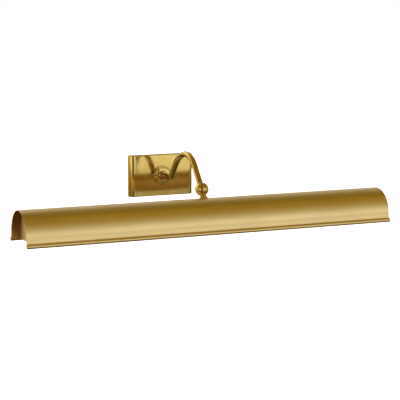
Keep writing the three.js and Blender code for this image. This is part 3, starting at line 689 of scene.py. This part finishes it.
lamp_height = 8 * MM
foot_top = strap_bottom - 0.3 * MM
foot_bottom = foot_top - strap_thickness
foot_length, upright_bottom = 13 * MM, lamp_height - strap_width / 2
socket_start, socket_end, collar = 1.5 * MM, 36 * MM, 13.5 * MM
socket_radius, barrel_radius, mouth_radius = 15.5 * MM, 14.5 * MM, 13.4 * MM
cap_start, cap_end, thread_radius = 9 * MM, 31 * MM, 12.9 * MM
glass_neck, glass_radius, glass_tip, glass_dome = 12.3 * MM, 16 * MM, 150 * MM, 9 * MM

ell = outline((0, upright_bottom), (strap_thickness, upright_bottom), (strap_thickness, foot_bottom, 0.8 * MM),
              (foot_length, foot_bottom), (foot_length, foot_top), (0, foot_top, 2 * MM))
rivet = outline((0, foot_bottom - 1.3 * MM), (2.6 * MM, foot_bottom - 1.3 * MM, 0.8 * MM),
                (2.8 * MM, foot_bottom - 0.1 * MM, 0.1 * MM), (1.5 * MM, foot_bottom - 0.1 * MM),
                (1.5 * MM, strap_top + 0.1 * MM), (2.4 * MM, strap_top + 0.1 * MM),
                (2.2 * MM, strap_top + 0.6 * MM, 0.3 * MM), (0, strap_top + 0.6 * MM), closed=False, steps=4)
holder = outline(
    (2 * MM, socket_start), (12.5 * MM, socket_start, 1 * MM), (barrel_radius, socket_start + 2 * MM, 1 * MM),
    (barrel_radius, collar - 1.2 * MM, 0.4 * MM), (socket_radius, collar - 0.2 * MM, 0.6 * MM),
    (socket_radius, socket_end - 3.2 * MM, 0.3 * MM), (socket_radius - 0.5 * MM, socket_end - 2.7 * MM, 0.2 * MM),
    (socket_radius - 0.5 * MM, socket_end - 2.2 * MM, 0.2 * MM), (socket_radius, socket_end - 1.7 * MM, 0.3 * MM),
    (socket_radius, socket_end, 0.6 * MM), (mouth_radius, socket_end, 0.5 * MM),
    (mouth_radius, socket_start + 4 * MM), (2 * MM, socket_start + 4 * MM), steps=3)
dome = [Vector((glass_radius * math.cos(math.radians(t)) ** 0.7,
                glass_tip - glass_dome + glass_dome * math.sin(math.radians(t)))) for t in range(0, 90, 6)]
glass = outline((glass_neck, cap_end - 0.5 * MM), (glass_neck, socket_end + 2 * MM, 3 * MM),
                (glass_radius, socket_end + 10 * MM, 7 * MM), (glass_radius, glass_tip - glass_dome - MM),
                closed=False, steps=8) + dome + [Vector((0, glass_tip))]

for number, x in enumerate(lamp_places, 1):
    place = neck_frame @ Matrix.Translation((x, 0, 0))
    along = place @ Matrix.Translation((0, 0, lamp_height)) @ facing(Vector(), RIGHT)

    bent = prism(ell, strap_width, place, edge=0.15 * MM)
    screw_hole = drill(along @ Vector((0, 0, -3 * MM)), RIGHT, 2 * MM, 6 * MM, 24)
    rivet_hole = drill(place @ Vector((rivet_x, 0, foot_bottom - MM)), neck_line, 1.8 * MM, 4 * MM, 24)
    finished(f"holder_bracket_{number}", cut(bent, screw_hole, rivet_hole), zinc, "zinc_steel", "shade_side",
             f"socket_bracket_{number}")
    finished(f"holder_rivet_{number}", turned(rivet, place @ Matrix.Translation((rivet_x, 0, 0)), 28, closed=False),
             zinc, "zinc_steel", "shade_side", f"bracket_rivet_{number}")

    # Lampholder, with finger flutes moulded into the barrel behind its collar
    barrel = turned(holder, along, 96)
    flutes = [f for f in barrel.faces if abs((along.inverted() @ f.calc_center_median()).xy.length - barrel_radius)
              < 0.3 * MM and 5 * MM < (along.inverted() @ f.calc_center_median()).z < 11 * MM]
    grooves = [f for f in flutes if round(math.degrees(math.atan2(*(along.inverted() @ f.calc_center_median()).xy))
                                          / 3.75 - 0.5) % 4 == 0]
    bmesh.ops.inset_individual(barrel, faces=grooves, thickness=0.12 * MM, depth=-0.45 * MM)
    finished(f"lampholder_{number}", barrel, phenolic, "black_phenolic", "shade_side", f"socket_{number}")
    finished(f"holder_screw_{number}",
             screw(3 * MM, 1.9 * MM, 1.7 * MM, 5.2 * MM, along @ Matrix.Translation((0, 0, -0.1 * MM))
                   @ Matrix.Rotation(math.pi, 4, "X"), 0.8 * MM),
             zinc, "zinc_steel", "shade_side", f"socket_screw_{number}")

    # Screw cap: a rolled thread wound up the shell, and the contact button
    pitch, turns, steps = 3.6 * MM, 5, 32
    thread = bmesh.new()
    wave = [thread.verts.new(along @ Vector((thread_radius - 0.5 * MM + 0.5 * MM * math.cos(math.tau * t / 8), 0,
                                             cap_start + 4.6 * MM - pitch / 2 + pitch * t / 8 + pitch / 2)))
            for t in range(9)]
    for first, second in zip(wave, wave[1:]):
        thread.edges.new((first, second))
    bmesh.ops.spin(thread, geom=thread.verts[:] + thread.edges[:], cent=along @ Vector(),
                   axis=RIGHT, dvec=RIGHT * pitch / steps, angle=math.tau * (turns - 1), steps=steps * (turns - 1),
                   use_merge=False, use_normal_flip=False, use_duplicate=False)
    bmesh.ops.remove_doubles(thread, verts=thread.verts, dist=1e-5)
    bmesh.ops.recalc_face_normals(thread, faces=thread.faces)
    bmesh.ops.solidify(thread, geom=thread.faces[:], thickness=0.3 * MM)
    button = turned(outline((0, cap_start), (5 * MM, cap_start, 0.8 * MM), (7 * MM, cap_start + 3 * MM, 0.5 * MM),
                            (thread_radius - MM, cap_start + 5 * MM, 0.8 * MM), (thread_radius - MM, cap_end),
                            (thread_radius - 1.4 * MM, cap_end), (thread_radius - 1.4 * MM, cap_start + 5.6 * MM),
                            (6.6 * MM, cap_start + 3.8 * MM), (0, cap_start + MM), closed=False), along, 40,
                    closed=False)
    loose = bpy.data.meshes.new("button")
    button.to_mesh(loose)
    button.free()
    thread.from_mesh(loose)
    bpy.data.meshes.remove(loose)
    finished(f"lamp_cap_{number}", thread, brass, "polished_brass", "shade_side", f"lamp_base_{number}")

    bulb = turned(glass, along, 64, closed=False)
    bmesh.ops.solidify(bulb, geom=bulb.faces[:], thickness=0.8 * MM)
    finished(f"lamp_bulb_{number}", bulb, opal, "opal_glass", "shade_side", f"lamp_glass_{number}")

# ---- Leads -----------------------------------------------------------------------------------------------------
# White sleeved wire: up the inside of the arm, down through the neck, and along the strap to the lampholders.
sleeve, tree, shader = finish("wire_sleeve", (0.78, 0.74, 0.64), 0, 0.5)
weave = pattern(tree, 2600, detail=2)
tinted(tree, shader, weave, (0.7, 0.65, 0.54), (0.84, 0.81, 0.72))
raised(tree, shader, weave, 0.4, 0.06 * MM)
low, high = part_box("shade_lead")
lead_middle = (low + high) / 2
lead = turned(outline((0, 0), (1.15 * MM, 0, 0.3 * MM), (1.15 * MM, high.x - low.x, 0.3 * MM), (0, high.x - low.x),
                      closed=False), facing(Vector((low.x, lead_middle.y, lead_middle.z)), RIGHT), 16, closed=False)
finished("strap_lead", lead, sleeve, "lead_sleeve", "shade_side", "shade_lead")
for node in ("arm_lead", "neck_lead"):
    frame["nodes"][node].data.materials.clear()
    frame["nodes"][node].data.materials.append(sleeve)

# ---- Studio ----------------------------------------------------------------------------------------------------
# A pale floor with a soft wash of light from above, and a graded surround that lights the fixture and is what its
# brass reflects. The camera stands to the left of the fixture and a little above it.
scene = bpy.context.scene
scene.view_settings.view_transform = "Standard"

azimuth, elevation, distance = math.radians(-24.39), math.radians(8.2), 2.29
target = Vector((0.0345, -0.087, -0.03405))
camera_data = bpy.data.cameras.new("camera")
camera_data.lens, camera_data.sensor_width = 126.5, 36
camera = bpy.data.objects.new("camera", camera_data)
away = Vector((math.sin(azimuth) * math.cos(elevation), -math.cos(azimuth) * math.cos(elevation),
               math.sin(elevation)))
camera.location = target + away * distance
camera.rotation_euler = (math.pi / 2 - elevation, 0, azimuth)
scene.collection.objects.link(camera)
scene.camera = camera

floor_mesh = bpy.data.meshes.new("floor")
floor_reach, floor_drop = 40, 0.45
ground = bmesh.new()
bmesh.ops.create_grid(ground, x_segments=1, y_segments=1, size=floor_reach,
                      matrix=Matrix.Translation((0, 0, -floor_drop)))
ground.to_mesh(floor_mesh)
ground.free()
floor = bpy.data.objects.new("floor", floor_mesh)
scene.collection.objects.link(floor)
paper, tree, shader = finish("floor_paper", (0.9, 0.9, 0.9), 0, 0.9)
tinted(tree, shader, pattern(tree, 3, detail=2), (0.89, 0.89, 0.89), (0.91, 0.91, 0.91))
floor.data.materials.append(paper)
floor.visible_glossy = False

wash_data = bpy.data.lights.new("floor_wash", "SUN")
wash_data.energy, wash_data.angle = 4.6, math.radians(100)
wash = bpy.data.objects.new("floor_wash", wash_data)
wash.visible_glossy = False
scene.collection.objects.link(wash)

world = bpy.data.worlds.new("surround")
world.use_nodes = True
scene.world = world
tree = world.node_tree


def reckon(operation, *values):
    """A sum on node outputs and plain numbers."""
    node = tree.nodes.new("ShaderNodeMath")
    node.operation = operation
    for socket, value in zip(node.inputs, values):
        if isinstance(value, (int, float)):
            socket.default_value = value
        else:
            tree.links.new(value, socket)
    return node.outputs[0]


def banded(degrees, stops):
    """Colours round a full turn, given at stops of (degrees, colour) and blended smoothly between them."""
    ramp = tree.nodes.new("ShaderNodeValToRGB")
    ramp.color_ramp.interpolation = "B_SPLINE"
    ramp.color_ramp.elements.remove(ramp.color_ramp.elements[0])
    for i, (at, colour) in enumerate(stops):
        stop = ramp.color_ramp.elements[0] if i == 0 else ramp.color_ramp.elements.new(at / 360 + 0.5)
        stop.position = at / 360 + 0.5
        stop.color = (*colour, 1)
    tree.links.new(reckon("ADD", reckon("DIVIDE", degrees, math.tau), 0.5), ramp.inputs["Fac"])
    return ramp.outputs["Color"]


def blended(kind, first, second, factor):
    """Two colours mixed by that kind of blend."""
    mix = tree.nodes.new("ShaderNodeMix")
    mix.data_type, mix.blend_type = "RGBA", kind
    for name, value in (("A", first), ("B", second), ("Factor", factor)):
        if isinstance(value, (int, float, tuple)):
            mix.inputs[name].default_value = value
        else:
            tree.links.new(value, mix.inputs[name])
    return mix.outputs["Result"]


direction = tree.nodes.new("ShaderNodeTexCoord")
split = tree.nodes.new("ShaderNodeSeparateXYZ")
tree.links.new(direction.outputs["Generated"], split.inputs["Vector"])
forward = reckon("MULTIPLY", split.outputs["Y"], -1)
overhead = banded(reckon("ARCTAN2", split.outputs["Z"], forward), (
    (-180, (0.45, 0.37, 0.22)), (-165, (0.5, 0.41, 0.25)), (-120, (0.1, 0.07, 0.02)), (-80, (0.1, 0.075, 0.018)),
    (-45, (0.1, 0.08, 0.03)), (-24, (0.24, 0.22, 0.15)), (-9, (0.58, 0.59, 0.5)), (3, (0.9, 0.92, 0.88)),
    (15, (0.56, 0.57, 0.48)), (28, (0.39, 0.37, 0.24)), (45, (0.29, 0.23, 0.065)), (64, (0.24, 0.165, 0.018)),
    (100, (0.23, 0.17, 0.015)), (122, (0.3, 0.23, 0.05)), (138, (0.66, 0.61, 0.49)), (155, (0.86, 0.84, 0.8)),
    (180, (0.45, 0.37, 0.22))))
around = banded(reckon("ARCTAN2", split.outputs["X"], forward), (
    (-180, (0.5, 0.5, 0.5)), (-160, (1, 1, 1)), (-100, (0.6, 0.6, 0.6)), (-65, (0.85, 0.85, 0.8)),
    (-46, (0.95, 0.9, 0.7)), (-34, (0.02, 0.016, 0.01)), (-10, (0.02, 0.016, 0.01)), (2, (0.8, 0.8, 0.8)),
    (16, (0.8, 0.8, 0.8)), (28, (0.7, 0.7, 0.7)), (42, (0.72, 0.72, 0.74)), (65, (0.75, 0.75, 0.77)),
    (90, (0.5, 0.5, 0.5)), (150, (0.34, 0.34, 0.34)),
    (180, (0.5, 0.5, 0.5))))
ray = tree.nodes.new("ShaderNodeLightPath")
seen = blended("MULTIPLY", overhead, around, 1)
glow = tree.nodes["Background"]
tree.links.new(blended("MIX", seen, (1, 1, 1, 1), ray.outputs["Is Camera Ray"]), glow.inputs["Color"])
brightness = 2.1
tree.links.new(reckon("MULTIPLY_ADD", ray.outputs["Is Camera Ray"], 1 - brightness, brightness),
               glow.inputs["Strength"])
